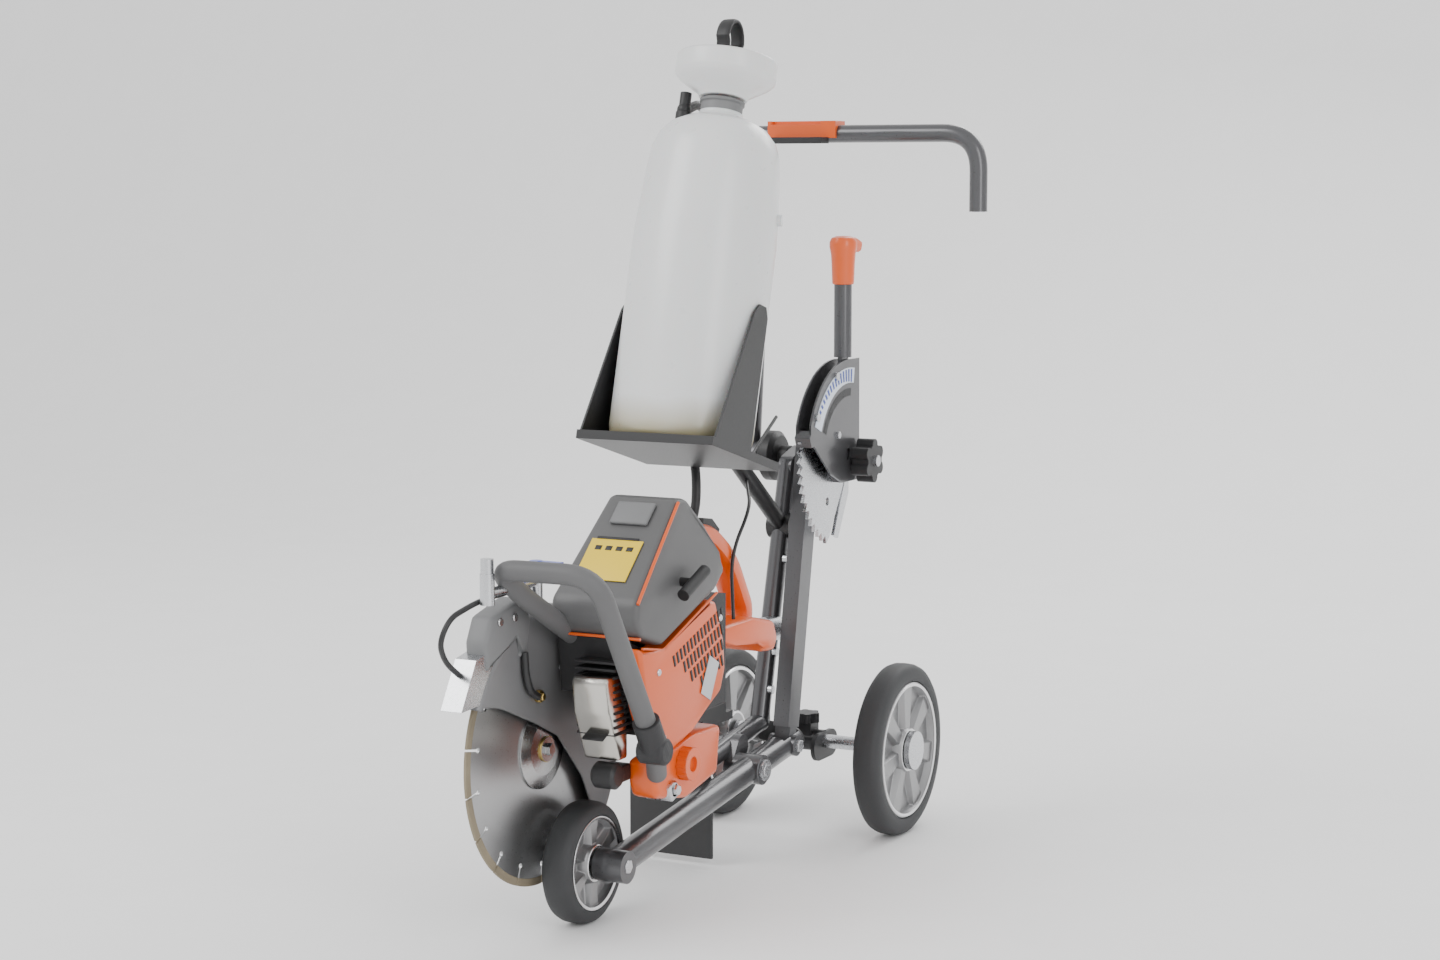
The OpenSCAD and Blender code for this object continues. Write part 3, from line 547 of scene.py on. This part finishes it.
bm = bmesh.new()
top, rim, half = GUARD_R, 10, 15
steps = 110
first, last = BLADE_GUARD_ANGLES
grid = []
for i in range(steps + 1):
    a = math.radians(first - (first - last) * i / steps)
    low = cut_radius(a)
    section = []
    for side in (1, -1):
        arc = [(top - rim + rim * math.sin(b), half - rim + rim * math.cos(b))
               for b in [math.pi / 2 * k / 5 for k in range(6)]]
        line = [(low + (top - rim - low) * k / 6, half) for k in range(6)] + arc
        line = [(rr, side * xx + BLADE[0]) for rr, xx in line]
        section += line if side == 1 else line[::-1]
    grid.append([bm.verts.new((x, BY + rr * math.cos(a), BZ + rr * math.sin(a))) for rr, x in section])
for a, b in zip(grid, grid[1:]):
    for k in range(len(a) - 1):
        bm.faces.new((a[k], a[k + 1], b[k + 1], b[k]))
bmesh.ops.recalc_face_normals(bm, faces=bm.faces)
bmesh.ops.solidify(bm, geom=bm.faces, thickness=1.8)
piece("guard_shell_pressed", bm, "guard", "guard", replaces="guard_shell")
bm = bmesh.new()
for i in range(2):
    disc(bm, -102.5, -99.5, BY - 122 + 34 * i, BZ + 182 + 1 * i, 5.5, 20, 1)
piece("guard_screws", bm, "steel", "guard")
bm = bmesh.new()
prism(bm, [(BY - 150, BZ + 122), (BY - 153, BZ + 160), (BY - 138, BZ + 190), (BY - 74, BZ + 206),
           (BY - 54, BZ + 198),
           (BY - 48, BZ + 172), (BY - 58, BZ + 128), (BY - 74, BZ + 130), (BY - 78, BZ + 166)], -134, -102, 6)
piece("guard_grip_block", bm, "grip", "guard", replaces="guard_handle")
bm = bmesh.new()
sweep(bm, rounded([(-102, BY - 66, BZ + 136), (-100, BY - 66, BZ + 106), (-100, BY - 56, BZ + 84),
                   (-101, BY - 34, BZ + 74)], 24, 6), 5, 14)
piece("guard_hose", bm, "hose", "guard")
bm = bmesh.new()
disc(bm, -106, -94, BY - 32, BZ + 74, 5, 6, 1)
disc(bm, -106, -99, BY - 30, BZ + 74, 8, 24, 1)
piece("guard_fitting", bm, "brass", "guard")
bm = bmesh.new()
block(bm, (-105.5, BY + 50, BZ + 98), (1.4, 44, 32), turn_x(-42), 0.5)
piece("guard_plate", bm, "plate", "guard")
# A black disc on the guard: painted shade for the dark inside seen through a hole.
bm = bmesh.new()
disc(bm, -106.4, -105.4, BY + 84, BZ - 2, 5, 24)
piece("guard_hole_shade", bm, "black_plastic", "guard")

# ---- blade ----
bm = bmesh.new()
revolve(bm, [(8, 9.6), (16, 9.6), (17, 12.2), (8, 12.4)], (BLADE[0], BY, BZ), sides=40)
piece("blade_washer", bm, "brass", "blade")

# ---- depth scale ----
def round_pivot(x, r, a):
    """A point at radius r and angle a about the depth lever's pivot."""
    return x, LEVER_PIVOT[0] + r * math.cos(a), LEVER_PIVOT[1] + r * math.sin(a)


bm = bmesh.new()
for i in range(15):
    a0 = math.radians(86 + 4.5 * i)
    a1 = math.radians(86 + 4.5 * i + 2.0)
    r1 = 124
    r0 = 121 - 16 * (1 - i / 16)
    q = [(r0, a0), (r1, a0), (r1, a1), (r0, a1)]
    front = [bm.verts.new(round_pivot(13.6, r, a)) for r, a in q]
    back = [bm.verts.new(round_pivot(13.0, r, a)) for r, a in q]
    bm.faces.new(front)
    bm.faces.new(back[::-1])
    for k in range(4):
        bm.faces.new((front[k], back[k], back[(k + 1) % 4], front[(k + 1) % 4]))
piece("scale_wedges", bm, "scale_blue", "cart")
bm = bmesh.new()
steps = 18
outer = [(96, math.radians(86 + 70 * i / steps)) for i in range(steps + 1)]
inner = [(85, math.radians(86 + 70 * i / steps)) for i in range(steps + 1)]
for i in range(steps):
    q = [outer[i], outer[i + 1], inner[i + 1], inner[i]]
    bm.faces.new([bm.verts.new(round_pivot(12.4, r, a)) for r, a in q])
piece("lever_slot_shadow", bm, "black_plastic", "cart")

# ---- lever grip ----
bm = bmesh.new()
revolve(bm, [(13.4, 0), (15.4, 0.6), (16, 3), (17, 30), (18, 44), (20, 54), (20, 61), (17, 67), (10, 69.6),
             (0, 70)], (2, 315, 798), (0, 0, 1), 40)
sweep(bm, rounded([(2, 306, 858), (2, 340, 857), (2, 354, 852)], 10, 4), 12, 20, flat=(12, 9))
piece("lever_grip_moulded", bm, "orange", "depth_lever", replaces="lever_grip")

# ---- tank ----
bm = bmesh.new()
R, th = TANK_R, TANK_H
revolve(bm, [(0, 9), (30, 6), (60, 3), (R - 20, 3), (R - 8, 7), (R - 2, 15), (R, 28), (R, th - 20),
             (R - 1, th), (R - 4, th + 40),
             (R - 7, th + 80), (R - 10, th + 104), (R - 17, th + 122), (R - 30, th + 137), (R - 48, th + 147),
             (34, th + 152),
             (30, th + 156), (30, th + 160), (0, th + 160)], tank(0, 0, 0), LEAN, 96)
piece("tank_bottle_round", bm, "tank", "cart", replaces="tank_bottle")
bm = bmesh.new()
revolve(bm, [(0, 0), (29, 0), (29, 14), (31, 15), (31, 19), (0, 19)], tank(0, 0, th + 158), LEAN, 48)
piece("tank_collar_ring", bm, "grip", "cart")
bm = bmesh.new()
revolve(bm, [(7.3, 0), (33, 0), (36, 6), (52, 16), (64, 24), (69, 29), (70, 33), (70, 54), (68.5, 56),
             (66.5, 55), (66, 36), (60, 30),
             (48, 22), (30, 15), (7.3, 14)], tank(0, 0, th + 180), LEAN, 80)
piece("pump_funnel_round", bm, "white", "cart", replaces="pump_funnel")
bm = bmesh.new()
base = tank(0, 0, th + 182)
y_dir = tank(0, 1, 0) - tank(0, 0, 0)
revolve(bm, [(0, 0), (7, 0), (7, 50), (0, 50)], base, LEAN, 24)
loop = []
for i in range(29):
    a = math.radians(-80 + 340 * i / 28)
    s = 1.0 if math.sin(a) > 0 else 0.82
    rise = 80 + 27 * math.sin(a) * (1.05 if s == 1 else 1.3)
    loop.append(base + LEAN * rise + y_dir * (23 * math.cos(a) * s))
sweep(bm, loop, 5, 20, flat=(10, 3.2))
piece("pump_handle_loop", bm, "black_plastic", "pump", replaces="pump_handle")
bm = bmesh.new()
revolve(bm, [(0, -4), (8, -4), (8, 3), (0, 3)], tank(94, 30, 330), (1, 0.3, 0), 24)
piece("tank_button", bm, "white", "cart")

# ---- stage ----
bm = bmesh.new()
curve = [(-9.0, 0.0), (-4.0, 0.0), (2.6, 0.0)]
curve += [(2.6 + 1.8 * math.sin(math.pi / 2 * i / 16), 1.8 - 1.8 * math.cos(math.pi / 2 * i / 16))
          for i in range(1, 17)] + [(4.4, 9.0)]
rows = [(bm.verts.new((-14, y, z)), bm.verts.new((14, y, z))) for y, z in curve]
for (a0, a1), (b0, b1) in zip(rows, rows[1:]):
    bm.faces.new((a0, a1, b1, b0))
me = bpy.data.meshes.new("floor")
bm.to_mesh(me)
bm.free()
me.shade_smooth()
floor = bpy.data.objects.new("floor", me)
bpy.context.scene.collection.objects.link(floor)
floor_material = material("floor", (0.93, 0.93, 0.93), 0.75, 0.0, 0.0, 3, spot=0.008)
me.materials.append(floor_material)
world = bpy.data.worlds.new("studio")
bpy.context.scene.world = world
world.use_nodes = True
world.node_tree.nodes["Background"].inputs["Color"].default_value = (1, 1, 1, 1)
world.node_tree.nodes["Background"].inputs["Strength"].default_value = 1.15


def light(name, where, target, size, power):
    """A soft rectangular light aimed at a point."""
    data = bpy.data.lights.new(name, "AREA")
    data.shape = "RECTANGLE"
    data.size, data.size_y = size
    data.energy = power
    ob = bpy.data.objects.new(name, data)
    bpy.context.scene.collection.objects.link(ob)
    ob.location = where
    ob.rotation_euler = (Vector(target) - Vector(where)).to_track_quat("-Z", "Y").to_euler()


light("key", (-2.2, -2.6, 3.4), (0, 0, 0.4), (2.2, 2.2), 85)
light("fill", (3.2, -1.8, 1.8), (0, 0, 0.5), (1.2, 2.6), 38)
light("back", (0.4, 3.2, 2.8), (0, 0, 0.6), (2.6, 1.6), 60)

cam = bpy.data.cameras.new("camera")
cam.lens = 65.0
cam.sensor_width = 36.0
camera = bpy.data.objects.new("camera", cam)
bpy.context.scene.collection.objects.link(camera)
camera.location = V((1562.3, -3116.7, 947.4))
camera.rotation_euler = (V((-28.8, -14.8, 545.6)) - camera.location).to_track_quat("-Z", "Y").to_euler()
bpy.context.scene.camera = camera
